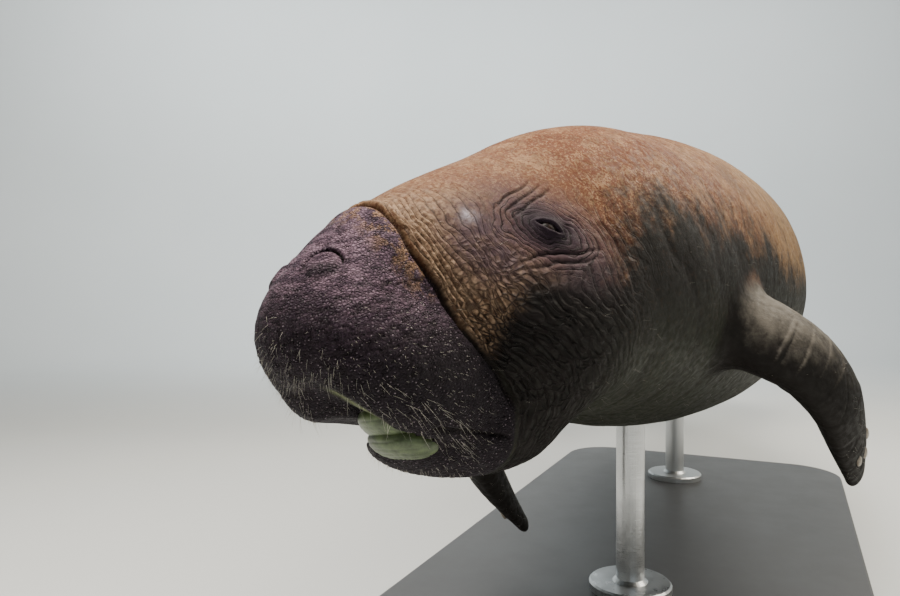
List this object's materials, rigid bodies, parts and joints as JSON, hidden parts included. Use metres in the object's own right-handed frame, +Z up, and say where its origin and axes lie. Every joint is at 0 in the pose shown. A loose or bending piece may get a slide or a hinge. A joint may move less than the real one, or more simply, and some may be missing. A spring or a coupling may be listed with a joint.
{
  "type": "manatee model on display stand",
  "caption": "Still life-size manatee with flippers and round tail paddle, banked as it swims, on a flat base with two rods.",
  "frame": {"origin": "middle of the underside of the stand's base, on the floor", "axes": "+Z up, +Y from the muzzle to the tail, +X to the animal's left"},
  "size_m": [0.8557, 2.7124, 0.8129],
  "materials": {
    "skin": "rough wrinkled hide",
    "snout_skin": "rough pimpled hide",
    "mouth_pad": "ridged horny pad",
    "eye": "wet and dark",
    "nail": "smooth horn",
    "bristle": "stiff pale bristle",
    "stand_base": "satin black",
    "stand_steel": "brushed"
  },
  "bodies": {
    "root": {"snout": "snout_skin", "lower_jaw": "snout_skin", "head": "skin", "mouth_pad_lower": "mouth_pad", "mouth_pad_upper": "mouth_pad", "eye_left": "eye", "eye_right": "eye", "neck": "skin", "chest": "skin", "abdomen": "skin", "rump": "skin", "tail_stock": "skin", "tail_paddle": "skin", "nail_left_1": "nail", "nail_left_2": "nail", "nail_left_3": "nail", "flipper_left": "skin", "nail_right_1": "nail", "nail_right_2": "nail", "nail_right_3": "nail", "flipper_right": "skin", "stand_base": "stand_base", "stand_rod_front": "stand_steel", "stand_rod_rear": "stand_steel"}
  },
  "joints": []
}
